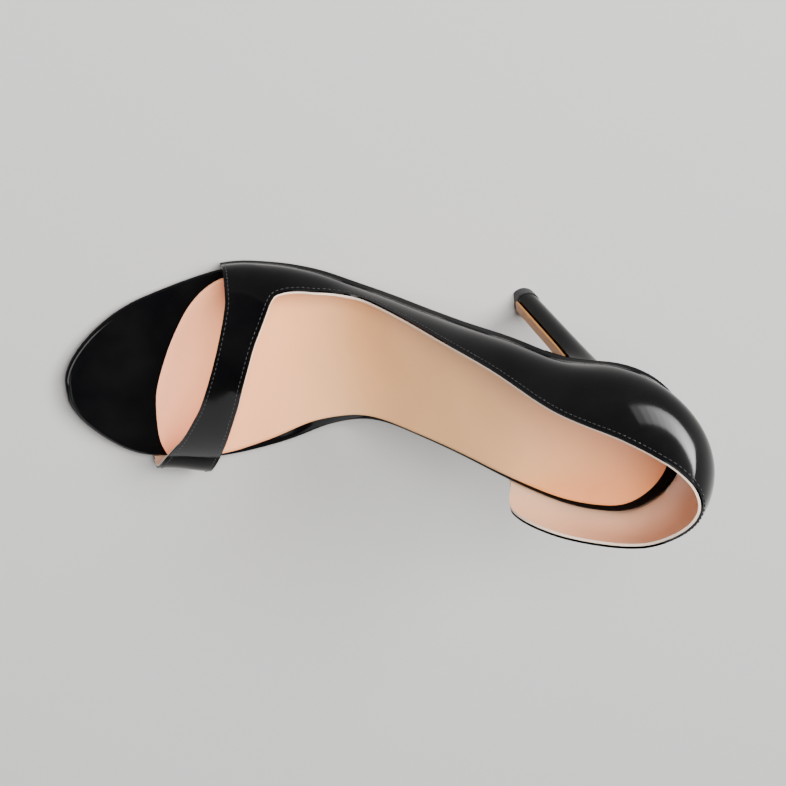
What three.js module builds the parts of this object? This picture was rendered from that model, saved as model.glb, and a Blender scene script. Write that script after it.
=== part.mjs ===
import * as THREE from 'three';

// A high-heeled sandal for the right foot, standing empty on its heel tip and forefoot.
// +X runs to the toe, +Y to the inner side of the foot, +Z up. Lengths are in millimetres. The
// origin is the middle of the heel's tip on the floor.

// Driving dimensions: the last
const footLength = 245;
const ballWidth = 72;
const seatWidth = 54;
const heelHeight = 120;
const instepHeight = 60;
const seatRound = 26;
const toeRound = 33;
const toeSquareness = 2.13;
const archSquareness = 2.2;

// Driving dimensions: the pieces
const boardThickness = 3.4;
const boardRim = 2;
const lowerRim = 0.7;
const sockThickness = 0.9;
const soleThickness = 2.5;
const soleInset = 2.2;
const breastThickness = 1;
const upperWall = 1.6;
const collarHeight = 44;
const strapSwell = 3;
const outerSwell = 2.8;
const innerSwell = 1;
const backSwell = 5;
const swellHeight = 13;
const outerLean = 10;
const innerLean = 12;
const backLean = 7;
const turnBelow = 0.04;
const topPieceWidth = 9.2;
const topPieceHeight = 4.6;
const tipWidth = 8.4;
const shankWidth = 9.4;
const tipSetback = 29.8;
const seatOffset = 5.2;
const heelRake = 8.8;
const heelFlare = 9;
const heelCup = 4;
const breastAlong = 0.195;
const breastFlat = 0.75;
const breastCover = 0.7;
const seatCover = 0.92;
const mitreReach = 1.9;
const treadPress = 0.15;
const clearance = 0.3;

// The footbed's slope down to the toe, in degrees, and the way the foot rises from it
const footbed = [
  { along: 0.00, slope: 26.1, rise: -2.5 },
  { along: 0.10, slope: 33.3, rise: 8 },
  { along: 0.20, slope: 44.2, rise: 20 },
  { along: 0.30, slope: 53.8, rise: 35 },
  { along: 0.40, slope: 55.8, rise: 46 },
  { along: 0.50, slope: 54.5, rise: 44 },
  { along: 0.60, slope: 36.0, rise: 30 },
  { along: 0.68, slope: 12.9, rise: 14 },
  { along: 0.76, slope: 1.0, rise: 6 },
  { along: 0.88, slope: -2.4, rise: 2 },
  { along: 1.00, slope: -4.4, rise: 1 },
];

// Half widths of the insole board as shares of the seat's and the ball's width, and the middle
// line's way to the inner side as a share of the ball's width
const boardPlan = [
  { along: 0.00, seat: 0.465, ball: 0.000, shift: -0.012 },
  { along: 0.04, seat: 0.472, ball: 0.000, shift: 0.003 },
  { along: 0.08, seat: 0.474, ball: 0.000, shift: 0.022 },
  { along: 0.16, seat: 0.472, ball: 0.000, shift: 0.034 },
  { along: 0.25, seat: 0.475, ball: 0.000, shift: -0.006 },
  { along: 0.35, seat: 0.300, ball: 0.115, shift: -0.025 },
  { along: 0.45, seat: 0.180, ball: 0.202, shift: -0.033 },
  { along: 0.55, seat: 0.060, ball: 0.303, shift: -0.033 },
  { along: 0.62, seat: 0.000, ball: 0.402, shift: -0.020 },
  { along: 0.68, seat: 0.000, ball: 0.463, shift: 0.006 },
  { along: 0.74, seat: 0.000, ball: 0.497, shift: 0.017 },
  { along: 0.80, seat: 0.000, ball: 0.486, shift: 0.038 },
  { along: 0.86, seat: 0.000, ball: 0.439, shift: 0.042 },
  { along: 0.92, seat: 0.000, ball: 0.396, shift: 0.054 },
  { along: 1.00, seat: 0.000, ball: 0.303, shift: 0.038 },
];

// The height of the last over the footbed as a share of the instep's height
const lastHeights = [
  { along: 0.00, height: 1.50 },
  { along: 0.20, height: 1.38 },
  { along: 0.40, height: 1.10 },
  { along: 0.50, height: 0.86 },
  { along: 0.58, height: 0.73 },
  { along: 0.66, height: 0.65 },
  { along: 0.72, height: 0.57 },
  { along: 0.78, height: 0.48 },
  { along: 0.84, height: 0.38 },
  { along: 0.90, height: 0.30 },
  { along: 1.00, height: 0.24 },
];

// The strap's front and rear edge along the foot, where turn runs over the foot from the outer
// side of the board (0) to its inner side (1)
const strapEdges = [
  { turn: 1.04, front: 0.890, rear: 0.818 },
  { turn: 0.93, front: 0.885, rear: 0.811 },
  { turn: 0.80, front: 0.873, rear: 0.797 },
  { turn: 0.70, front: 0.854, rear: 0.780 },
  { turn: 0.62, front: 0.832, rear: 0.762 },
  { turn: 0.55, front: 0.812, rear: 0.745 },
  { turn: 0.48, front: 0.788, rear: 0.725 },
  { turn: 0.41, front: 0.769, rear: 0.706 },
  { turn: 0.34, front: 0.754, rear: 0.689 },
  { turn: 0.27, front: 0.744, rear: 0.672 },
  { turn: 0.20, front: 0.738, rear: 0.660 },
];

// The upper's sections from the strap's front corner to its end at the inner side. Way is the
// distance round the board's edge from the middle of the heel, as a share of the foot's length.
// Turn is the lower edge's place over the foot, height the upper edge's as a share of the collar.
const sideSections = [
  { lowWay: -0.796, turn: 0.200, highWay: -0.717, height: 0.547 },
  { lowWay: -0.799, turn: 0.120, highWay: -0.710, height: 0.470 },
  { lowWay: -0.804, turn: 0.040, highWay: -0.699, height: 0.435 },
  { lowWay: -0.809, turn: -0.04, highWay: -0.685, height: 0.405 },
  { lowWay: -0.770, turn: -0.04, highWay: -0.662, height: 0.365 },
  { lowWay: -0.720, turn: -0.04, highWay: -0.638, height: 0.325 },
  { lowWay: -0.660, turn: -0.04, highWay: -0.610, height: 0.260 },
  { lowWay: -0.590, turn: -0.04, highWay: -0.570, height: 0.205 },
  { lowWay: -0.531, turn: -0.04, highWay: -0.531, height: 0.200 },
  { lowWay: -0.449, turn: -0.04, highWay: -0.449, height: 0.250 },
  { lowWay: -0.367, turn: -0.04, highWay: -0.367, height: 0.340 },
  { lowWay: -0.286, turn: -0.04, highWay: -0.286, height: 0.465 },
  { lowWay: -0.204, turn: -0.04, highWay: -0.204, height: 0.655 },
  { lowWay: -0.131, turn: -0.04, highWay: -0.131, height: 0.830 },
  { lowWay: -0.065, turn: -0.04, highWay: -0.065, height: 0.955 },
  { lowWay: 0.000, turn: -0.04, highWay: 0.000, height: 1.000 },
  { lowWay: 0.065, turn: -0.04, highWay: 0.065, height: 0.890 },
  { lowWay: 0.131, turn: -0.04, highWay: 0.131, height: 0.690 },
  { lowWay: 0.196, turn: -0.04, highWay: 0.196, height: 0.550 },
  { lowWay: 0.250, turn: -0.04, highWay: 0.243, height: 0.480 },
  { lowWay: 0.295, turn: -0.04, highWay: 0.280, height: 0.400 },
  { lowWay: 0.325, turn: -0.04, highWay: 0.304, height: 0.300 },
  { lowWay: 0.342, turn: -0.04, highWay: 0.316, height: 0.190 },
];

// How far the sock stays inside the board's edge, as a share of the ball's width
const sockMargins = [
  { along: 0.00, outer: 0.036, inner: 0.050 },
  { along: 0.04, outer: 0.032, inner: 0.050 },
  { along: 0.08, outer: 0.028, inner: 0.049 },
  { along: 0.15, outer: 0.028, inner: 0.047 },
  { along: 0.30, outer: 0.028, inner: 0.042 },
  { along: 0.50, outer: 0.028, inner: 0.036 },
  { along: 0.60, outer: 0.028, inner: 0.044 },
  { along: 0.66, outer: 0.028, inner: 0.062 },
  { along: 0.72, outer: 0.028, inner: 0.048 },
  { along: 0.79, outer: 0.028, inner: 0.030 },
  { along: 0.90, outer: 0.028, inner: 0.028 },
];

// The sock's front edge from the outer to the inner side: across as a share of the half width
const sockFront = [
  { across: -0.945, along: 0.748 },
  { across: -0.887, along: 0.778 },
  { across: -0.760, along: 0.804 },
  { across: -0.582, along: 0.824 },
  { across: -0.369, along: 0.842 },
  { across: -0.131, along: 0.857 },
  { across: 0.130, along: 0.870 },
  { across: 0.418, along: 0.877 },
  { across: 0.718, along: 0.878 },
  { across: 0.950, along: 0.869 },
];

// The outsole's extra inset from the board's edge as a share of the ball's width
const soleInsets = [
  { along: 0.00, inset: 0.030 },
  { along: 0.19, inset: 0.030 },
  { along: 0.30, inset: 0.060 },
  { along: 0.45, inset: 0.085 },
  { along: 0.58, inset: 0.060 },
  { along: 0.70, inset: 0.015 },
  { along: 0.85, inset: 0.000 },
  { along: 1.00, inset: 0.000 },
];

const degree = Math.PI / 180;

const mix = (a, b, share) => a + (b - a) * share;
const clamp = (value, low, high) => Math.min(Math.max(value, low), high);
const power = (value, exponent) => Math.sign(value) * Math.abs(value) ** exponent;

function smooth(value) {
  const share = clamp(value, 0, 1);
  return share * share * (3 - 2 * share);
}

// A smooth curve through one column of a table, read at a place in another column
function readTable(rows, key, place, by = 'along') {
  const last = rows.length - 1;
  const forward = rows[last][by] > rows[0][by] ? 1 : -1;
  let row = 0;
  while (row < last - 1 && (place - rows[row + 1][by]) * forward > 0) row += 1;
  const slopeAt = (index) => {
    const before = rows[Math.max(index - 1, 0)];
    const after = rows[Math.min(index + 1, last)];
    return (after[key] - before[key]) / (after[by] - before[by]);
  };
  const span = rows[row + 1][by] - rows[row][by];
  const share = clamp((place - rows[row][by]) / span, 0, 1);
  const square = share * share;
  const cube = square * share;
  return (2 * cube - 3 * square + 1) * rows[row][key]
    + (cube - 2 * square + share) * span * slopeAt(row)
    + (3 * square - 2 * cube) * rows[row + 1][key]
    + (cube - square) * span * slopeAt(row + 1);
}

// The same curve read by the row's number, for tables whose rows are sections in order
function readRows(rows, key, place) {
  const row = clamp(Math.floor(place), 0, rows.length - 2);
  const share = place - row;
  const value = (index) => rows[clamp(index, 0, rows.length - 1)][key];
  const start = (value(row + 1) - value(row - 1)) / 2;
  const end = (value(row + 2) - value(row)) / 2;
  const square = share * share;
  const cube = square * share;
  return (2 * cube - 3 * square + 1) * value(row) + (cube - 2 * square + share) * start
    + (3 * square - 2 * cube) * value(row + 1) + (cube - square) * end;
}

// The footbed's side view, with its slopes scaled until the seat stands at the heel's height
const footSteps = 490;
const soleStack = boardThickness + clearance + soleThickness - treadPress;

function traceFootbed(pitch) {
  const line = { x: [0], z: [0] };
  const step = footLength / footSteps;
  for (let i = 1; i <= footSteps; i += 1) {
    const slope = pitch * readTable(footbed, 'slope', (i - 0.5) / footSteps) * degree;
    line.x.push(line.x[i - 1] + Math.cos(slope) * step);
    line.z.push(line.z[i - 1] - Math.sin(slope) * step);
  }
  return line;
}

function findPitch() {
  let low = 0.1;
  let high = 1.6;
  for (let i = 0; i < 40; i += 1) {
    const pitch = (low + high) / 2;
    const rise = -Math.min(...traceFootbed(pitch).z);
    if (rise < heelHeight - soleStack) low = pitch;
    else high = pitch;
  }
  return (low + high) / 2;
}

const pitch = findPitch();
const footLine = traceFootbed(pitch);

// A point above the footbed: s along it and y across it in millimetres, up along a direction
// that leans by tilt degrees from the vertical
function fromFootbed(s, y, up, tilt) {
  const place = clamp(s / footLength, 0, 1) * footSteps;
  const i = Math.min(Math.floor(place), footSteps - 1);
  const past = s - clamp(s, 0, footLength);
  const slope = slopeAt(s);
  const x = mix(footLine.x[i], footLine.x[i + 1], place - i) + past * Math.cos(slope) - tipSetback;
  const z = mix(footLine.z[i], footLine.z[i + 1], place - i) - past * Math.sin(slope) + heelHeight;
  return new THREE.Vector3(x + up * Math.sin(tilt), y + seatOffset, z + up * Math.cos(tilt));
}

function slopeAt(s) {
  return pitch * readTable(footbed, 'slope', clamp(s / footLength, 0, 1)) * degree;
}

// A point square to the footbed
function overBoard(s, y, up) {
  return fromFootbed(s, y, up, slopeAt(s));
}

// The board's half width before its ends are rounded
function halfWidth(s) {
  const along = clamp(s / footLength, 0, 1);
  const seat = readTable(boardPlan, 'seat', along) * seatWidth;
  return seat + readTable(boardPlan, 'ball', along) * ballWidth;
}

// The share of that width that the rounded heel and toe leave
function endRound(s) {
  if (s < seatRound) return Math.sqrt(Math.max(1 - (1 - s / seatRound) ** 2, 0));
  const past = clamp((s - footLength + toeRound) / toeRound, 0, 1);
  return (1 - past ** toeSquareness) ** (1 / toeSquareness);
}

function middle(s) {
  return readTable(boardPlan, 'shift', clamp(s / footLength, 0, 1)) * ballWidth;
}

// Places along the board, closer together in the rounded ends
function boardStations(seatCount, midCount, toeCount) {
  const stations = [];
  for (let i = 0; i < seatCount; i += 1) {
    const angle = mix(8, 90, i / seatCount) * degree;
    stations.push(seatRound * (1 - Math.cos(angle)));
  }
  for (let i = 0; i < midCount; i += 1) {
    stations.push(mix(seatRound, footLength - toeRound, i / midCount));
  }
  for (let i = 0; i <= toeCount; i += 1) {
    const angle = mix(0, 82, i / toeCount) * degree;
    stations.push(footLength - toeRound + toeRound * Math.sin(angle) ** (2 / toeSquareness));
  }
  return stations;
}

// The board's edge at one station, as the two points at the outer (-1) and inner (1) side
function edgePoint(s, side) {
  return new THREE.Vector2(s, middle(s) + side * halfWidth(s) * endRound(s));
}

// The same edge moved inwards by an inset that may change along the board
function insetEdge(stations, side, inset) {
  return stations.map((s, i) => {
    const before = edgePoint(stations[Math.max(i - 1, 0)], side);
    const after = edgePoint(stations[Math.min(i + 1, stations.length - 1)], side);
    const along = after.sub(before).normalize();
    const inward = new THREE.Vector2(along.y * side, -along.x * side);
    return edgePoint(s, side).addScaledVector(inward, inset(s));
  });
}

// A closed body from its points and the corners of its faces, turned to face outwards
function closedBody(points, faces) {
  const triangles = faces.flatMap((face) => {
    const fan = [];
    for (let i = 2; i < face.length; i += 1) fan.push([face[0], face[i - 1], face[i]]);
    return fan;
  });
  let volume = 0;
  for (const [a, b, c] of triangles) {
    volume += points[a].dot(new THREE.Vector3().crossVectors(points[b], points[c]));
  }
  const order = volume > 0 ? triangles : triangles.map(([a, b, c]) => [a, c, b]);
  const geometry = new THREE.BufferGeometry().setFromPoints(points);
  geometry.setIndex(order.flat());
  geometry.computeVertexNormals();
  return geometry;
}

// A plate of closed rings, each ring a run of outer points and a run of inner points from heel
// to toe, from the lowest ring to the highest
function plate(rings) {
  const count = rings[0].outer.length;
  const loop = 2 * count;
  const points = rings.flatMap((ring) => [...ring.outer, ...[...ring.inner].reverse()]);
  const faces = [];
  for (let ring = 0; ring < rings.length - 1; ring += 1) {
    for (let i = 0; i < loop; i += 1) {
      const a = ring * loop + i;
      const b = ring * loop + ((i + 1) % loop);
      faces.push([a, b, b + loop, a + loop]);
    }
  }
  const top = (rings.length - 1) * loop;
  for (let i = 0; i < count - 1; i += 1) {
    const across = loop - 1 - i;
    faces.push([i, across, across - 1, i + 1]);
    faces.push([top + i, top + i + 1, top + across - 1, top + across]);
  }
  return closedBody(points, faces);
}

function makeBoard() {
  const stations = boardStations(10, 40, 14);
  const rimAngles = [0, 30, 60, 90];
  const profile = [
    { inset: lowerRim, up: -boardThickness },
    { inset: 0, up: -boardThickness + lowerRim },
    ...rimAngles.map((angle) => ({
      inset: boardRim * (1 - Math.cos(angle * degree)),
      up: boardRim * (Math.sin(angle * degree) - 1),
    })),
  ];
  return plate(profile.map(({ inset, up }) => ({
    outer: insetEdge(stations, -1, () => inset).map((p) => overBoard(p.x, p.y, up)),
    inner: insetEdge(stations, 1, () => inset).map((p) => overBoard(p.x, p.y, up)),
  })));
}

// The sock's edge: the board's edge less its margin, then the curved front edge
function sockEdge() {
  const noseRow = sockFront.length - 2;
  const frontPoint = (row) => {
    const s = readRows(sockFront, 'along', row) * footLength;
    return new THREE.Vector2(s, middle(s) + readRows(sockFront, 'across', row) * halfWidth(s));
  };
  const share = (from, to, count) => Array.from({ length: count }, (_, i) => mix(from, to, i / count));
  const seat = boardStations(9, 40, 1).filter((s) => s < sockFront[0].along * footLength - 4);
  const margin = (key) => (s) => readTable(sockMargins, key, s / footLength) * ballWidth;
  const innerEnd = sockFront[sockFront.length - 1].along * footLength;
  const innerRun = share(sockFront[0].along * footLength, innerEnd, 10);
  const outer = insetEdge(seat, -1, margin('outer'));
  const inner = insetEdge([...seat, ...innerRun], 1, margin('inner'));
  const outerFront = share(0, noseRow - 1, 13).map(frontPoint);
  const innerFront = share(sockFront.length - 1, noseRow - 0.6, 3).map(frontPoint);
  return { outer: [...outer, ...outerFront], inner: [...inner, ...innerFront] };
}

function makeSock() {
  const edge = sockEdge();
  return plate([clearance, clearance + sockThickness].map((up) => ({
    outer: edge.outer.map((p) => overBoard(p.x, p.y, up)),
    inner: edge.inner.map((p) => overBoard(p.x, p.y, up)),
  })));
}

// The board's edge as one run from the outer side round the heel to the inner side
function traceEdge() {
  const places = [];
  for (let i = 0; i <= 40; i += 1) places.push(seatRound * (1 - Math.cos((i / 40) * 90 * degree)));
  for (let i = 1; i <= 200; i += 1) places.push(mix(seatRound, footLength * 0.94, i / 200));
  const run = (side) => {
    const points = places.map((s) => edgePoint(s, side));
    let way = 0;
    return points.map((point, i) => {
      if (i > 0) way += point.distanceTo(points[i - 1]);
      return { way: side * way, s: point.x, y: point.y };
    });
  };
  return [...run(-1).reverse(), ...run(1).slice(1)];
}

const edgeRun = traceEdge();

function edgeAt(way) {
  let i = 0;
  while (i < edgeRun.length - 2 && edgeRun[i + 1].way < way) i += 1;
  const a = edgeRun[i];
  const b = edgeRun[i + 1];
  const share = (way - a.way) / (b.way - a.way);
  const near = edgeRun[Math.max(i - 2, 0)];
  const far = edgeRun[Math.min(i + 3, edgeRun.length - 1)];
  const out = new THREE.Vector2(near.y - far.y, far.s - near.s).normalize();
  return { s: mix(a.s, b.s, share), y: mix(a.y, b.y, share), out };
}

// The way round the edge on the outer side to a place along the foot
function outerWay(along) {
  const s = along * footLength;
  let i = 0;
  while (i < edgeRun.length - 2 && edgeRun[i + 1].s > s) i += 1;
  const a = edgeRun[i];
  const b = edgeRun[i + 1];
  return mix(a.way, b.way, (s - a.s) / (b.s - a.s));
}

function lastHeight(s) {
  return readTable(lastHeights, 'height', clamp(s / footLength, 0, 1)) * instepHeight;
}

// How high on the side wall a turn over the foot reaches, and back
function heightOfTurn(s, turn) {
  return lastHeight(s) * Math.sin(Math.PI * turn) ** (2 / archSquareness);
}

function turnOfHeight(s, height) {
  return Math.asin(clamp(height / lastHeight(s), 0, 1) ** (archSquareness / 2)) / Math.PI;
}

// A point of the last: the foot's side swells over the board's edge, leans in to the collar at
// the heel, and arches over to the other side at the strap
function lastPoint(way, turn) {
  const edge = edgeAt(way);
  const along = edge.s / footLength;
  const half = halfWidth(edge.s);
  const over = clamp(turn, 0, 1);
  const side = power(Math.cos(Math.PI * over), 2 / archSquareness);
  const up = heightOfTurn(edge.s, over);
  const back = Math.max(-edge.out.x, 0) ** 2;
  const fore = smooth((along - 0.15) / 0.4);
  const sideways = smooth((along - 0.35) / 0.2);
  const out = new THREE.Vector2(
    edge.out.x * (1 - sideways),
    mix(edge.out.y, Math.sign(edge.out.y), sideways),
  ).normalize();
  const inner = way > 0;
  const swell = mix(mix(inner ? innerSwell : outerSwell, strapSwell, fore), backSwell, back);
  const lean = mix(mix(inner ? innerLean : outerLean, 0, fore), backLean, back);
  const rise = up / swellHeight;
  let move = -half * (1 - side) - lean * (up / collarHeight) ** 2;
  if (turn < 0.5) move += swell * rise * Math.exp(1 - rise) * clamp(side * 2, 0, 1);
  const s = edge.s + out.x * move;
  const y = edge.y + out.y * move;
  const below = Math.max(-turn, turn - 1, 0) / turnBelow;
  if (below > 0) return overBoard(s, y, -below * boardThickness);
  const tilt = pitch * readTable(footbed, 'rise', along) * degree;
  return fromFootbed(s, y, up, tilt);
}

// The upper's sections, each a pair of ends over the last
function upperSections() {
  const sections = [];
  const strapCount = 44;
  for (let i = 0; i < strapCount; i += 1) {
    const turn = mix(strapEdges[0].turn, strapEdges[strapEdges.length - 1].turn, i / strapCount);
    const low = outerWay(readTable(strapEdges, 'front', turn, 'turn'));
    const high = outerWay(readTable(strapEdges, 'rear', turn, 'turn'));
    sections.push({ low, high, lowTurn: turn, highTurn: turn });
  }
  const cornerRow = sideSections.findIndex((row) => row.turn < 0);
  const runs = [
    { rows: sideSections.slice(0, cornerRow + 1), steps: 4 },
    { rows: sideSections.slice(cornerRow), steps: 5 },
  ];
  for (const { rows, steps } of runs) {
    const last = rows === runs[1].rows ? 1 : 0;
    const count = (rows.length - 1) * steps;
    for (let i = 0; i < count + last; i += 1) {
      const place = i / steps;
      const high = readRows(rows, 'highWay', place) * footLength;
      const height = readRows(rows, 'height', place) * collarHeight;
      sections.push({
        low: readRows(rows, 'lowWay', place) * footLength,
        lowTurn: readRows(rows, 'turn', place),
        high,
        highTurn: turnOfHeight(edgeAt(high).s, height),
      });
    }
  }
  return sections;
}

// One wall: the last's surface between the two edges, and the same surface a wall further out
function makeUpper() {
  const sections = upperSections();
  const rows = 10;
  const point = (section, share) => lastPoint(
    mix(section.low, section.high, share),
    mix(section.lowTurn, section.highTurn, share),
  );
  const shares = Array.from({ length: rows + 1 }, (_, j) => j / rows);
  const base = sections.map((section) => shares.map((share) => point(section, share)));
  const count = sections.length;
  const normal = (i, j) => {
    const along = base[Math.min(i + 1, count - 1)][j].clone().sub(base[Math.max(i - 1, 0)][j]);
    const across = base[i][Math.min(j + 1, rows)].clone().sub(base[i][Math.max(j - 1, 0)]);
    return new THREE.Vector3().crossVectors(across, along).normalize();
  };
  const moved = (p, i, j, distance) => p.clone().addScaledVector(normal(i, j), distance);
  const layer = (distance) => base.map((line, i) => line.map((p, j) => moved(p, i, j, distance)));
  const inside = layer(clearance);
  const outside = layer(clearance + upperWall);
  const points = [...inside.flat(), ...outside.flat()];
  const size = count * (rows + 1);
  const at = (i, j) => i * (rows + 1) + j;
  const faces = [];
  for (let i = 0; i < count - 1; i += 1) {
    for (let j = 0; j < rows; j += 1) {
      faces.push([at(i, j), at(i + 1, j), at(i + 1, j + 1), at(i, j + 1)]);
      faces.push([size + at(i, j), size + at(i, j + 1), size + at(i + 1, j + 1), size + at(i + 1, j)]);
    }
    faces.push([at(i, 0), size + at(i, 0), size + at(i + 1, 0), at(i + 1, 0)]);
    faces.push([at(i, rows), at(i + 1, rows), size + at(i + 1, rows), size + at(i, rows)]);
  }
  for (let j = 0; j < rows; j += 1) {
    const end = count - 1;
    faces.push([at(0, j), at(0, j + 1), size + at(0, j + 1), size + at(0, j)]);
    faces.push([at(end, j), size + at(end, j), size + at(end, j + 1), at(end, j + 1)]);
  }
  return closedBody(points, faces);
}

const soleTop = -boardThickness - clearance;
const breastPlace = breastAlong * footLength;
const heelFoot = topPieceHeight + clearance;
const heelSides = 26;
const breastSides = 6;
const riseStep = 0.02;

// One place round the slim lower heel at a height: a round with a flat breast
function shankSection(z, place, width = mix(tipWidth, shankWidth, z / heelHeight)) {
  const half = width / 2;
  const corner = Math.acos(breastFlat);
  const centre = new THREE.Vector3(-z * Math.tan(heelRake * degree), 0, z);
  if (place <= heelSides) {
    const angle = mix(-corner, corner - 2 * Math.PI, place / heelSides);
    return centre.add(new THREE.Vector3(half * Math.cos(angle), half * Math.sin(angle), 0));
  }
  const across = mix(1, -1, (place - heelSides) / breastSides) * half * Math.sin(corner);
  return centre.add(new THREE.Vector3(half * breastFlat, across, 0));
}

// The heel's rim under the seat, at the same places round as the section below
function seatSection(place) {
  const reach = -outerWay(breastAlong) / footLength;
  const edge = (way) => {
    const at = edgeAt(way * footLength);
    const move = clearance + upperWall;
    return new THREE.Vector2(at.s + at.out.x * move, at.y + at.out.y * move);
  };
  if (place <= heelSides) {
    const p = edge(mix(-reach, reach, place / heelSides));
    return overBoard(p.x, p.y, soleTop);
  }
  const p = edge(reach).lerp(edge(-reach), (place - heelSides) / breastSides);
  return overBoard(p.x, p.y, soleTop);
}

// A point of the heel's side: rise is 0 at the tip and 1 under the seat, where the slim lower
// heel flares out into a cup as wide as the seat's rim
function heelPoint(place, rise) {
  const rim = seatSection(place);
  const z = mix(heelFoot, rim.z, rise);
  const flare = rise ** heelFlare * (1 + heelCup * (1 - rise));
  const under = shankSection(rim.z, place);
  const point = shankSection(z, place);
  point.x += (rim.x - under.x) * flare;
  point.y += (rim.y - under.y) * flare;
  return point;
}

function makeHeel() {
  const places = heelSides + breastSides;
  const rises = [0, 0.15, 0.3, 0.42, 0.52, 0.6, 0.67, 0.73, 0.78, 0.82, 0.86, 0.9, 0.93, 0.96, 0.98, 1];
  const rings = rises.map((rise) => Array.from({ length: places }, (_, place) => heelPoint(place, rise)));
  const points = rings.flat();
  const faces = [];
  for (let ring = 0; ring < rings.length - 1; ring += 1) {
    for (let i = 0; i < places; i += 1) {
      const a = ring * places + i;
      const b = ring * places + ((i + 1) % places);
      faces.push([a, b, b + places, a + places]);
    }
  }
  const top = (rings.length - 1) * places;
  faces.push(Array.from({ length: places }, (_, i) => places - 1 - i));
  faces.push(...seatFaces(top, points));
  return closedBody(points, faces);
}

// The heel's top follows the board's underside, so its faces run straight across the foot
function seatFaces(top, points) {
  const faces = [];
  const half = heelSides / 2;
  for (let i = 0; i < half; i += 1) {
    const across = heelSides - i;
    if (i === half - 1) faces.push([top + i, top + i + 1, top + across]);
    else faces.push([top + i, top + i + 1, top + across - 1, top + across]);
  }
  const front = [top];
  for (let i = heelSides; i < heelSides + breastSides; i += 1) front.push(top + i);
  faces.push(front);
  return faces;
}

function makeTopPiece() {
  const places = heelSides + breastSides;
  const round = Array.from({ length: places }, (_, place) => place);
  const ring = (z) => round.map((place) => shankSection(z, place, topPieceWidth));
  const points = [...ring(0), ...ring(topPieceHeight)];
  const faces = [];
  for (let i = 0; i < places; i += 1) {
    const next = (i + 1) % places;
    faces.push([i, next, next + places, i + places]);
  }
  faces.push(Array.from({ length: places }, (_, i) => places - 1 - i));
  faces.push(Array.from({ length: places }, (_, i) => places + i));
  return closedBody(points, faces);
}

// The outsole: under the board from the toe to the heel's breast, then down the breast
function makeOutsole() {
  const inset = (s) => soleInset + readTable(soleInsets, 'inset', s / footLength) * ballWidth;
  const bend = breastPlace + clearance + soleThickness * mitreReach;
  const stations = [bend, ...boardStations(4, 44, 12).filter((s) => s > bend + soleThickness)];
  const outer = insetEdge(stations, -1, inset).reverse();
  const inner = insetEdge(stations, 1, inset).reverse();
  const onFloor = (p) => new THREE.Vector3(p.x, p.y, Math.max(p.z, 0));
  const sections = outer.map((left, i) => {
    const right = inner[i];
    return [
      overBoard(left.x, left.y, soleTop),
      overBoard(right.x, right.y, soleTop),
      onFloor(overBoard(right.x, right.y, soleTop - soleThickness)),
      onFloor(overBoard(left.x, left.y, soleTop - soleThickness)),
    ];
  });
  sections.push(...breastSections());
  const points = sections.flat();
  const faces = [];
  for (let i = 0; i < sections.length - 1; i += 1) {
    for (let k = 0; k < 4; k += 1) {
      const a = i * 4 + k;
      const b = i * 4 + ((k + 1) % 4);
      faces.push([a, b, b + 4, a + 4]);
    }
  }
  const end = (sections.length - 1) * 4;
  faces.push([0, 3, 2, 1], [end, end + 1, end + 2, end + 3]);
  return closedBody(points, faces);
}

// The outsole's strip on the heel's breast, narrower than the flat it covers
function breastSections() {
  const rises = [0.95, 0.91, 0.87, 0.83, 0.78, 0.73, 0.67, 0.6, 0.52, 0.42, 0.3, 0.15, 0];
  const ends = (rise) => {
    const cover = mix(breastCover, seatCover, rise ** heelCup) / 2;
    return [heelSides + breastSides * (0.5 + cover), heelSides + breastSides * (0.5 - cover)];
  };
  const strip = rises.map((rise) => {
    const [outer, inner] = ends(rise).map((place) => heelPoint(place, rise));
    const below = heelPoint(heelSides, Math.max(rise - riseStep, 0));
    const above = heelPoint(heelSides, rise + riseStep);
    const down = below.sub(above).setY(0).normalize();
    const front = new THREE.Vector3(-down.z, 0, down.x);
    const near = [outer, inner].map((p) => p.clone().addScaledVector(front, clearance));
    const far = [inner, outer].map((p) => p.clone().addScaledVector(front, clearance + breastThickness));
    return [...near, ...far];
  });
  const [left, right] = ends(1).map((place) => heelPoint(place, 1).y - seatOffset);
  const corner = breastPlace + clearance;
  const turned = corner + soleThickness * mitreReach / 2;
  const mitre = [
    overBoard(corner, left, soleTop),
    overBoard(corner, right, soleTop),
    overBoard(turned, right, soleTop - soleThickness),
    overBoard(turned, left, soleTop - soleThickness),
  ];
  return [mitre, ...strip];
}

const blackPatent = { color: 0x0b0b0c, roughness: 0.12, metalness: 0 };
const nudeLeather = { color: 0xeac3a6, roughness: 0.55, metalness: 0 };
const tanLeather = { color: 0xb98a55, roughness: 0.5, metalness: 0 };
const darkRubber = { color: 0x1c1c1e, roughness: 0.6, metalness: 0 };

const pieces = [
  { name: 'upper', make: makeUpper, look: blackPatent },
  { name: 'insole_board', make: makeBoard, look: blackPatent },
  { name: 'insole_sock', make: makeSock, look: nudeLeather },
  { name: 'outsole', make: makeOutsole, look: tanLeather },
  { name: 'heel', make: makeHeel, look: blackPatent },
  { name: 'top_piece', make: makeTopPiece, look: darkRubber },
];

const shoe = new THREE.Group();
for (const { name, make, look } of pieces) {
  const mesh = new THREE.Mesh(make(), new THREE.MeshStandardMaterial(look));
  mesh.name = name;
  shoe.add(mesh);
}

export default shoe;
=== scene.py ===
import math

import bmesh
import bpy
from mathutils import Matrix, Vector
from mathutils.bvhtree import BVHTree


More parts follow.
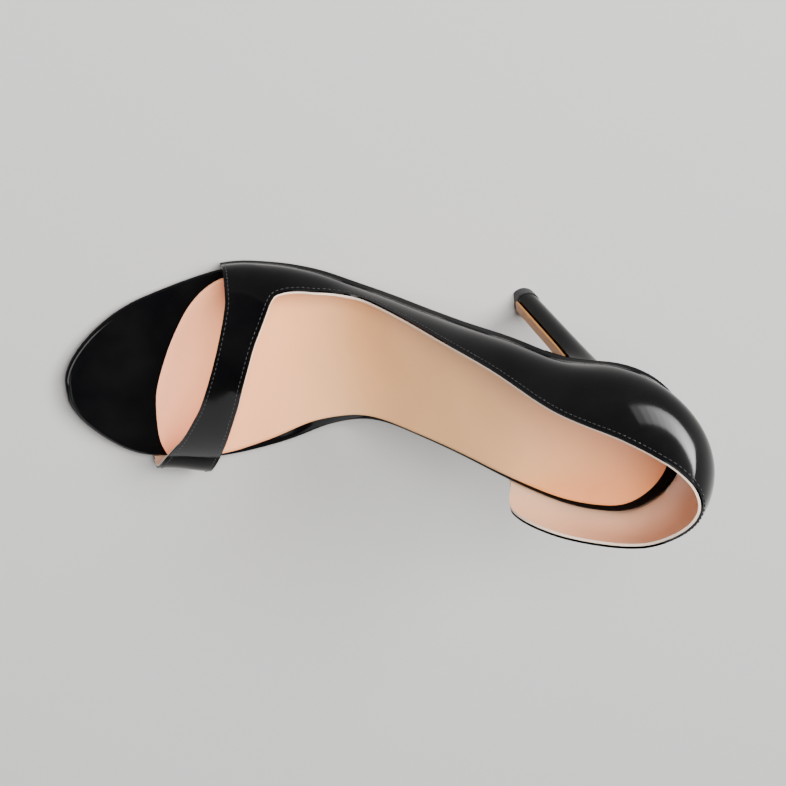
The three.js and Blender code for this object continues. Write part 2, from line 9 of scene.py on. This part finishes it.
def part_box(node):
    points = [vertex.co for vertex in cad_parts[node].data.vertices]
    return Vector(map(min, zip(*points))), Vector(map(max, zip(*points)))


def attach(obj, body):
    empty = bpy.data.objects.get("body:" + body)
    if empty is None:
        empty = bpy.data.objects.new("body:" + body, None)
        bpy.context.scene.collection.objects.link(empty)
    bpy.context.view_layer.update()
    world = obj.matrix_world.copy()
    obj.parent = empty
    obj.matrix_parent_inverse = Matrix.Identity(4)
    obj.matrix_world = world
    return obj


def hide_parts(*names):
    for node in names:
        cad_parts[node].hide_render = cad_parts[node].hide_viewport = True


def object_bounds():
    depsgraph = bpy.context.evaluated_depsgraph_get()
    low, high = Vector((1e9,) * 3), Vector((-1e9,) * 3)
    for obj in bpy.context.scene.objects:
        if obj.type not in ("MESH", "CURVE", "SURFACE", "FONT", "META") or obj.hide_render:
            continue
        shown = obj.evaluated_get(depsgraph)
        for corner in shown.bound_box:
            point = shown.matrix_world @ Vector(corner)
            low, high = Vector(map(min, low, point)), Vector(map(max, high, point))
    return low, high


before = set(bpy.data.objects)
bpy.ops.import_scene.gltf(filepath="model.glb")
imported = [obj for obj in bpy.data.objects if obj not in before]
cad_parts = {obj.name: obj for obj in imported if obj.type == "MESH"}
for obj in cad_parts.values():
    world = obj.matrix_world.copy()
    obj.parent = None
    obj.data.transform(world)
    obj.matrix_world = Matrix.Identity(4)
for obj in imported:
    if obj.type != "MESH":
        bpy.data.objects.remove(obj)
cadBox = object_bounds()
millimetre = 0.001
print("frame loaded:", ", ".join(sorted(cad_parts)))


# camera at the photograph's angle to the shoe, toe to the left, seen from above its outer side
photoCamera = {
    "place": (0.10167, -0.31268, 0.72565),
    "right": (-0.988165, 0.099754, 0.116527),
    "down": (0.139660, 0.899263, 0.414512),
    "forward": (-0.063440, 0.425881, -0.902552),
    "lens": 100.66,
    "sensor": 36.0,
}


def makeCamera(setting):
    data = bpy.data.cameras.new("photoCamera")
    data.lens = setting["lens"]
    data.sensor_width = setting["sensor"]
    data.clip_start = 0.05
    data.clip_end = 20
    camera = bpy.data.objects.new("photoCamera", data)
    turn = Matrix((
        Vector(setting["right"]),
        -Vector(setting["down"]),
        -Vector(setting["forward"]),
    )).transposed()
    camera.matrix_world = Matrix.Translation(setting["place"]) @ turn.to_4x4()
    bpy.context.scene.collection.objects.link(camera)
    bpy.context.scene.camera = camera
    return camera


makeCamera(photoCamera)
print("camera placed")


# materials: every pattern reads Object coordinates
def startMaterial(name, colour, roughness, specular=0.5):
    material = bpy.data.materials.new(name)
    material.use_nodes = True
    shader = material.node_tree.nodes["Principled BSDF"]
    shader.inputs["Base Color"].default_value = (*colour, 1)
    shader.inputs["Roughness"].default_value = roughness
    shader.inputs["Specular IOR Level"].default_value = specular
    return material, shader


def addNode(material, kind, **inputs):
    node = material.node_tree.nodes.new(kind)
    for name, value in inputs.items():
        node.inputs[name].default_value = value
    return node


def addNoise(material, scale, detail=3.0, stretch=(1, 1, 1)):
    place = addNode(material, "ShaderNodeTexCoord")
    mapping = addNode(material, "ShaderNodeMapping", Scale=stretch)
    noise = addNode(material, "ShaderNodeTexNoise", Scale=scale, Detail=detail)
    links = material.node_tree.links
    links.new(place.outputs["Object"], mapping.inputs["Vector"])
    links.new(mapping.outputs["Vector"], noise.inputs["Vector"])
    return noise


def addCells(material, scale):
    place = addNode(material, "ShaderNodeTexCoord")
    cells = addNode(material, "ShaderNodeTexVoronoi", Scale=scale)
    cells.feature = "DISTANCE_TO_EDGE"
    material.node_tree.links.new(place.outputs["Object"], cells.inputs["Vector"])
    return cells


def addRange(material, source, low, high, start=0.3, end=0.7):
    spread = addNode(material, "ShaderNodeMapRange")
    spread.inputs["From Min"].default_value = start
    spread.inputs["From Max"].default_value = end
    spread.inputs["To Min"].default_value = low
    spread.inputs["To Max"].default_value = high
    material.node_tree.links.new(source, spread.inputs["Value"])
    return spread.outputs["Result"]


def addRamp(material, source, stops):
    ramp = addNode(material, "ShaderNodeValToRGB")
    ends = ramp.color_ramp.elements
    while len(ends) < len(stops):
        ends.new(0.5)
    for end, (place, colour) in zip(ends, stops):
        end.position = place
        end.color = (*colour, 1)
    material.node_tree.links.new(source, ramp.inputs["Fac"])
    return ramp.outputs["Color"]


def addBump(material, shader, height, strength, distance, before=None):
    bump = addNode(material, "ShaderNodeBump", Strength=strength, Distance=distance)
    links = material.node_tree.links
    links.new(height, bump.inputs["Height"])
    if before is not None:
        links.new(before.outputs["Normal"], bump.inputs["Normal"])
    links.new(bump.outputs["Normal"], shader.inputs["Normal"])
    return bump


patentLook = {
    "colour": (0.0016, 0.0016, 0.0019),
    "worn": (0.0036, 0.0035, 0.0037),
    "roughness": (0.07, 0.13),
    "shine": 0.036,
    "orangePeel": 420,
    "creaseScale": 60,
}


def makePatent(name, look):
    material, shader = startMaterial(name, look["colour"], look["roughness"][0], look["shine"])
    links = material.node_tree.links
    smudge = addNoise(material, look["creaseScale"], 4)
    tone = addRamp(material, smudge.outputs["Fac"], [(0.35, look["colour"]), (0.75, look["worn"])])
    links.new(tone, shader.inputs["Base Color"])
    gloss = addRange(material, smudge.outputs["Fac"], *look["roughness"])
    links.new(gloss, shader.inputs["Roughness"])
    peel = addNoise(material, look["orangePeel"], 2)
    soft = addBump(material, shader, smudge.outputs["Fac"], 0.05, 0.0008)
    addBump(material, shader, peel.outputs["Fac"], 0.04, 0.00012, soft)
    return material


nudeLook = {
    "roughness": (0.42, 0.56),
    "grain": 1500,
    "pores": 5200,
    # the lining is mixed towards this pale tone: partly the lining's own paler leather, partly painted
    # light that lifts the shaded inside wall
    "pale": (0.95, 0.66, 0.49),
    # colours along the foot from the heel to the toe, as shares of the shoe's length
    "along": [
        (0.00, (0.87, 0.33, 0.125)),
        (0.16, (0.90, 0.37, 0.140)),
        (0.34, (0.96, 0.49, 0.170)),
        (0.50, (0.96, 0.48, 0.170)),
        (0.66, (0.89, 0.38, 0.165)),
        (0.80, (0.88, 0.36, 0.185)),
        (1.00, (0.86, 0.34, 0.175)),
    ],
}


def makeNude(name, look, paler=0.0):
    material, shader = startMaterial(name, look["along"][0][1], look["roughness"][0], 0.35)
    nodes = material.node_tree.nodes
    links = material.node_tree.links
    place = addNode(material, "ShaderNodeTexCoord")
    split = nodes.new("ShaderNodeSeparateXYZ")
    links.new(place.outputs["Object"], split.inputs["Vector"])
    share = addRange(material, split.outputs["X"], 0, 1, cadBox[0][0], cadBox[1][0])
    # paler mixes the colours towards the pale tone; on the lining this is partly its own colour and partly
    # painted light on the shaded inside wall
    stops = [(at, Vector(colour).lerp(Vector(look["pale"]), paler)) for at, colour in look["along"]]
    base = addRamp(material, share, stops)
    cloud = addNoise(material, 38, 4)
    veil = nodes.new("ShaderNodeMix")
    veil.data_type = "RGBA"
    veil.blend_type = "MULTIPLY"
    tint = addRamp(material, cloud.outputs["Fac"], [(0.3, (0.93, 0.915, 0.90)), (0.7, (1, 1, 1))])
    veil.inputs["Factor"].default_value = 0.8
    links.new(base, veil.inputs["A"])
    links.new(tint, veil.inputs["B"])
    links.new(veil.outputs["Result"], shader.inputs["Base Color"])
    gloss = addRange(material, cloud.outputs["Fac"], *look["roughness"])
    links.new(gloss, shader.inputs["Roughness"])
    grain = addCells(material, look["grain"])
    fine = addNoise(material, look["pores"], 2)
    coarse = addBump(material, shader, grain.outputs["Distance"], 0.10, 0.00012)
    addBump(material, shader, fine.outputs["Fac"], 0.08, 0.00006, coarse)
    return material


cutEdgeLook = {
    "colour": (0.80, 0.62, 0.47),
    "roughness": 0.6,
    "fibre": 1800,
    "tones": [
        (0.3, (0.74, 0.55, 0.41)),
        (0.7, (0.86, 0.70, 0.55)),
    ],
}


def makeCutEdge(name, look):
    material, shader = startMaterial(name, look["colour"], look["roughness"], 0.3)
    links = material.node_tree.links
    fibre = addNoise(material, look["fibre"], 3)
    tone = addRamp(material, fibre.outputs["Fac"], look["tones"])
    links.new(tone, shader.inputs["Base Color"])
    addBump(material, shader, fibre.outputs["Fac"], 0.25, 0.0001)
    return material


soleLook = {
    "colour": (0.40, 0.20, 0.075),
    "roughness": (0.30, 0.46),
    "streaks": 120,
    "pores": 1900,
    "tones": [
        (0.25, (0.31, 0.115, 0.014)),
        (0.55, (0.38, 0.155, 0.022)),
        (0.80, (0.44, 0.195, 0.034)),
    ],
}


def makeSoleLeather(name, look):
    material, shader = startMaterial(name, look["colour"], 0.38, 0.4)
    links = material.node_tree.links
    streak = addNoise(material, look["streaks"], 5, (0.25, 1, 1))
    tone = addRamp(material, streak.outputs["Fac"], look["tones"])
    links.new(tone, shader.inputs["Base Color"])
    gloss = addRange(material, streak.outputs["Fac"], *look["roughness"])
    links.new(gloss, shader.inputs["Roughness"])
    pores = addCells(material, look["pores"])
    coarse = addBump(material, shader, streak.outputs["Fac"], 0.12, 0.0003)
    addBump(material, shader, pores.outputs["Distance"], 0.12, 0.0001, coarse)
    return material


rubberLook = {
    "colour": (0.007, 0.007, 0.008),
    "roughness": (0.38, 0.6),
    "dust": 900,
    "tones": [
        (0.35, (0.006, 0.006, 0.007)),
        (0.80, (0.016, 0.016, 0.015)),
    ],
}


def makeRubber(name, look):
    material, shader = startMaterial(name, look["colour"], 0.5, 0.25)
    links = material.node_tree.links
    dust = addNoise(material, look["dust"], 4)
    tone = addRamp(material, dust.outputs["Fac"], look["tones"])
    links.new(tone, shader.inputs["Base Color"])
    gloss = addRange(material, dust.outputs["Fac"], *look["roughness"])
    links.new(gloss, shader.inputs["Roughness"])
    addBump(material, shader, dust.outputs["Fac"], 0.2, 0.0001)
    return material


threadLook = {
    "colour": (0.008, 0.008, 0.009),
    "roughness": 0.5,
    "twist": 5200,
    "tones": [
        (0.35, (0.004, 0.004, 0.005)),
        (0.75, (0.016, 0.016, 0.017)),
    ],
}


def makeThread(name, look):
    material, shader = startMaterial(name, look["colour"], look["roughness"], 0.25)
    links = material.node_tree.links
    twist = addNoise(material, look["twist"], 2, (1, 1, 0.3))
    tone = addRamp(material, twist.outputs["Fac"], look["tones"])
    links.new(tone, shader.inputs["Base Color"])
    addBump(material, shader, twist.outputs["Fac"], 0.4, 0.00008)
    return material


patent = makePatent("patentLeather", patentLook)
nudeSock = makeNude("nudeSock", nudeLook)
# the lining is the sock's colours made paler: partly its own colour, partly painted light for the shaded
# inside wall
nudeLining = makeNude("nudeLining", nudeLook, 0.6)
cutEdge = makeCutEdge("liningCutEdge", cutEdgeLook)
soleLeather = makeSoleLeather("soleLeather", soleLook)
heelRubber = makeRubber("heelRubber", rubberLook)
thread = makeThread("blackThread", threadLook)
print("materials made")


# every node is redrawn from a merged copy of its own solid, with rounded edges
sharpTurn = math.radians(42)


def mergedCopy(nodeName):
    shape = bmesh.new()
    shape.from_mesh(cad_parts[nodeName].data)
    bmesh.ops.remove_doubles(shape, verts=shape.verts, dist=0.000004)
    bmesh.ops.join_triangles(
        shape,
        faces=shape.faces,
        angle_face_threshold=math.radians(32),
        angle_shape_threshold=math.radians(120),
    )
    return shape


def sharpEdges(shape, turn=sharpTurn):
    return [e for e in shape.edges if len(e.link_faces) == 2 and e.calc_face_angle() > turn]


def roundEdges(shape, edges, width, segments):
    return bmesh.ops.bevel(
        shape,
        geom=edges,
        offset=width,
        offset_type="OFFSET",
        affect="EDGES",
        segments=segments,
        profile=0.5,
        material=-1,
        clamp_overlap=True,
    )


def finishPiece(name, shape, materials, nodeName=None, levels=0):
    mesh = bpy.data.meshes.new(name)
    shape.to_mesh(mesh)
    shape.free()
    for material in materials:
        mesh.materials.append(material)
    mesh.shade_smooth()
    piece = bpy.data.objects.new(name, mesh)
    bpy.context.scene.collection.objects.link(piece)
    if levels:
        smoother = piece.modifiers.new("smoother", "SUBSURF")
        smoother.levels = levels
        smoother.render_levels = levels
    if nodeName:
        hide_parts(nodeName)
    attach(piece, "root")
    print(name, "finished with", len(mesh.polygons), "faces before smoothing")
    return piece


# the upper: patent outside, nude lining inside, the lining's cut edge between them
upperSetting = {
    "edgeRound": 0.42 * millimetre,
    # the line inside the foot from which a face is seen to look inwards or outwards
    "innerStart": -0.005,
    "innerEnd": 0.125,
    "innerMiddle": 0.006,
    "innerRise": 0.008,
    "rimMark": 3,
    # past the counter the rim beside the board stays black
    "counterEnd": 0.04,
    "blackNearBoard": 1.5 * millimetre,
    "levels": 2,
}


def boardHeight():
    low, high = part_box("insole_board")
    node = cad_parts["insole_board"].data
    tree = BVHTree.FromPolygons([v.co for v in node.vertices], [p.vertices for p in node.polygons])

    def heightAt(x, y):
        hit = tree.ray_cast(Vector((x, y, high[2] + 0.05)), Vector((0, 0, -1)))
        return hit[0].z if hit[0] else low[2]

    return heightAt, tree


footHeight, boardTree = boardHeight()


def faceGroups(shape, turn=sharpTurn):
    groups = []
    seen = set()
    for first in shape.faces:
        if first in seen:
            continue
        seen.add(first)
        group = [first]
        for face in group:
            for edge in face.edges:
                if len(edge.link_faces) != 2 or edge.calc_face_angle() > turn:
                    continue
                other = edge.link_faces[0] if edge.link_faces[1] is face else edge.link_faces[1]
                if other not in seen:
                    seen.add(other)
                    group.append(other)
        groups.append(group)
    return sorted(groups, key=lambda group: -sum(f.calc_area() for f in group))


def looksOut(face, setting):
    middle = face.calc_center_median()
    x = min(max(middle.x, setting["innerStart"]), setting["innerEnd"])
    y = setting["innerMiddle"]
    inside = Vector((x, y, footHeight(x, y) + setting["innerRise"]))
    return face.normal.dot(middle - inside) > 0


def upperShape(setting):
    shape = mergedCopy("upper")
    shape.normal_update()
    groups = faceGroups(shape)
    surfaces = groups[:2]
    votes = [sum(1 if looksOut(f, setting) else -1 for f in group) / len(group) for group in surfaces]
    outer = surfaces[0] if votes[0] > votes[1] else surfaces[1]
    inner = surfaces[1] if outer is surfaces[0] else surfaces[0]
    for face in shape.faces:
        face.material_index = setting["rimMark"]
    for face in outer:
        face.material_index = 0
    for face in inner:
        face.material_index = 1
    print("upper faces outside", len(outer), "inside", len(inner), "in", len(groups), "groups")
    return shape, outer, inner


# the half of the rim beside the lining is its cut edge, the other half is turned-in patent
def trimUpper(shape, inner, outer, setting):
    innerTree = BVHTree.FromPolygons(*polygonsOf(inner))
    outerTree = BVHTree.FromPolygons(*polygonsOf(outer))
    mark = setting["rimMark"]
    across = [e for e in shape.edges if all(f.material_index == mark for f in e.link_faces)]
    bmesh.ops.subdivide_edges(shape, edges=across, cuts=1)
    made = roundEdges(shape, sharpEdges(shape), setting["edgeRound"], 2)
    rim = set(made["faces"]) | {f for f in shape.faces if f.material_index == mark}
    for face in rim:
        middle = face.calc_center_median()
        near = innerTree.find_nearest(middle)[3] < outerTree.find_nearest(middle)[3]
        low = boardTree.find_nearest(middle)[3] < setting["blackNearBoard"]
        tuckedIn = low and middle.x > setting["counterEnd"]
        face.material_index = 2 if near and not tuckedIn else 0


def outlineOf(faces):
    inside = set(faces)
    border = {}
    for face in faces:
        for loop in face.loops:
            others = [f for f in loop.edge.link_faces if f is not face]
            if others and others[0] in inside:
                continue
            border[loop.vert] = loop.link_loop_next.vert
    first = next(iter(border))
    line = [first]
    while border[line[-1]] is not first and len(line) <= len(border):
        line.append(border[line[-1]])
    return [(v.co.copy(), v.normal.copy()) for v in line]


stitchSetting = {
    "fromEdge": 1.25 * millimetre,
    "length": 1.3 * millimetre,
    "pitch": 1.8 * millimetre,
    "thickness": 0.32 * millimetre,
    "keepOffBoard": 4.2 * millimetre,
}


def stitchPlaces(outer, setting):
    tree = BVHTree.FromPolygons(*polygonsOf(outer))
    line = outlineOf(outer)
    count = len(line)
    path = []
    for i in range(count):
        here = line[i][0]
        along = (line[(i + 1) % count][0] - line[i - 1][0]).normalized()
        near = tree.find_nearest(here)
        inward = near[1].cross(along).normalized()
        spot = tree.find_nearest(here + inward * setting["fromEdge"])
        free = boardTree.find_nearest(here)[3] > setting["keepOffBoard"]
        path.append((spot[0], spot[1], free))
    places = []
    left = 0.0
    for i in range(count):
        a, b = path[i], path[(i + 1) % count]
        span = (b[0] - a[0]).length
        if span == 0:
            continue
        while left < span:
            share = left / span
            if a[2] and b[2]:
                places.append((a[0].lerp(b[0], share), (b[0] - a[0]).normalized(), a[1].lerp(b[1], share)))
            left += setting["pitch"]
        left -= span
    return places


def polygonsOf(faces):
    numbers = {}
    points = []
    polygons = []
    for face in faces:
        polygon = []
        for vert in face.verts:
            if vert not in numbers:
                numbers[vert] = len(points)
                points.append(vert.co.copy())
            polygon.append(numbers[vert])
        polygons.append(polygon)
    return points, polygons


def makeStitches(places, setting):
    shape = bmesh.new()
    size = Vector((setting["length"] / 2, setting["thickness"] / 2, setting["thickness"] / 2))
    for spot, along, out in places:
        made = bmesh.ops.create_uvsphere(shape, u_segments=7, v_segments=5, radius=1)
        side = out.cross(along).normalized()
        up = along.cross(side).normalized()
        turn = Matrix((along, side, up)).transposed().to_4x4()
        grow = Matrix.Diagonal((*size, 1))
        lift = Matrix.Translation(spot + up * setting["thickness"] * 0.12)
        bmesh.ops.transform(shape, matrix=lift @ turn @ grow, verts=made["verts"])
    return shape


upperBody, upperOuter, upperInner = upperShape(upperSetting)
stitches = stitchPlaces(upperOuter, stitchSetting)
trimUpper(upperBody, upperInner, upperOuter, upperSetting)
upperLooks = [patent, nudeLining, cutEdge]
finishPiece("upper_leather", upperBody, upperLooks, "upper", upperSetting["levels"])
finishPiece("upper_stitching", makeStitches(stitches, stitchSetting), [thread])
print("stitches:", len(stitches))


# board, sock, sole, heel and top piece keep their solids' shapes with softened edges
redrawn = {
    "insole_board": {
        "piece": "board_wrapped",
        "look": patent,
        "round": 0.35,
        "steps": 2,
        "turn": 50,
        "levels": 2,
    },
    "insole_sock": {
        "piece": "sock_leather",
        "look": nudeSock,
        "round": 0.22,
        "steps": 2,
        "turn": 50,
        "levels": 1,
    },
    "outsole": {
        "piece": "sole_leather",
        "look": soleLeather,
        "round": 0.3,
        "steps": 2,
        "turn": 50,
        "levels": 1,
    },
    "heel": {
        "piece": "heel_covered",
        "look": patent,
        "round": 0.35,
        "steps": 2,
        "turn": 40,
        "levels": 2,
    },
    "top_piece": {
        "piece": "heel_top_piece",
        "look": heelRubber,
        "round": 0.35,
        "steps": 3,
        "turn": 50,
        "levels": 1,
    },
}


def redraw(nodeName, setting):
    shape = mergedCopy(nodeName)
    shape.normal_update()
    edges = sharpEdges(shape, math.radians(setting["turn"]))
    roundEdges(shape, edges, setting["round"] * millimetre, setting["steps"])
    return finishPiece(setting["piece"], shape, [setting["look"]], nodeName, setting["levels"])


for nodeName, setting in redrawn.items():
    redraw(nodeName, setting)


# floor and light
studio = {
    "floorColour": (0.37, 0.363, 0.355),
    "worldColour": (0.95, 0.96, 1.0),
    "worldStrength": 0.12,
    "lights": [
        {
            "name": "keyBox",
            "place": (-0.95, -0.75, 1.45),
            "aim": (0.06, 0, 0.05),
            "size": (0.9, 0.9),
            "power": 88,
        },
        {
            "name": "overhead",
            "place": (-0.15, -0.75, 1.7),
            "aim": (0.08, 0, 0.03),
            "size": (0.7, 0.7),
            "power": 62,
        },
    ],
    # panels that only show as highlights in the patent leather
    "panels": [
        {
            "name": "strapPanel",
            "place": (0.58, 0.61, 0.31),
            "aim": (0.12, 0.02, 0.03),
            "size": (0.75, 0.6),
            "power": 13,
        },
        {
            "name": "toePanel",
            "place": (0.39, 0.37, 0.8),
            "aim": (0.15, 0, 0.01),
            "size": (0.26, 0.26),
            "power": 2.4,
        },
        {
            "name": "rimPanel",
            "place": (0.220, -0.015, 0.062),
            "aim": (0.165, 0, 0.012),
            "size": (0.10, 0.05),
            "power": 0.55,
        },
    ],
    # the soft window beside the counter is a stack of panels that share one corner
    "counterWindow": {
        "corner": (-0.333, -0.110, 0.064),
        "across": (0.738, -0.676, 0),
        "aim": (0, 0, 0.09),
        "smallest": (0.08, 0.025),
        "largest": (0.38, 0.08),
        "count": 9,
        "brightness": 44,
    },
}


def windowPanels(setting):
    panels = []
    corner = Vector(setting["corner"])
    across = Vector(setting["across"])
    smallest = Vector(setting["smallest"])
    for i in range(setting["count"]):
        width, height = smallest.lerp(Vector(setting["largest"]), i / (setting["count"] - 1))
        panels.append({
            "name": "counterPanel" + str(i + 1),
            "place": corner + across * width / 2 - Vector((0, 0, height / 2)),
            "aim": setting["aim"],
            "size": (width, height),
            "power": setting["brightness"] * width * height,
        })
    return panels


def makeFloor(setting):
    shape = bmesh.new()
    bmesh.ops.create_grid(shape, x_segments=2, y_segments=2, size=6)
    mesh = bpy.data.meshes.new("floor")
    shape.to_mesh(mesh)
    shape.free()
    floor = bpy.data.objects.new("floor", mesh)
    material, shader = startMaterial("floorPaint", setting["floorColour"], 0.9, 0.0)
    mesh.materials.append(material)
    bpy.context.scene.collection.objects.link(floor)


def makeLights(lights, lightsAll):
    for light in lights:
        data = bpy.data.lights.new(light["name"], "AREA")
        data.shape = "RECTANGLE"
        data.size, data.size_y = light["size"]
        data.energy = light["power"]
        lamp = bpy.data.objects.new(light["name"], data)
        toAim = Vector(light["aim"]) - Vector(light["place"])
        lamp.rotation_euler = toAim.to_track_quat("-Z", "Y").to_euler()
        lamp.location = light["place"]
        lamp.visible_camera = False
        lamp.visible_diffuse = lightsAll
        bpy.context.scene.collection.objects.link(lamp)


def makeWorld(setting):
    world = bpy.data.worlds.new("studioWorld")
    bpy.context.scene.world = world
    world.use_nodes = True
    back = world.node_tree.nodes["Background"]
    back.inputs["Color"].default_value = (*setting["worldColour"], 1)
    back.inputs["Strength"].default_value = setting["worldStrength"]


makeFloor(studio)
makeLights(studio["lights"], True)
makeLights(studio["panels"] + windowPanels(studio["counterWindow"]), False)
makeWorld(studio)
print("floor and lights made")
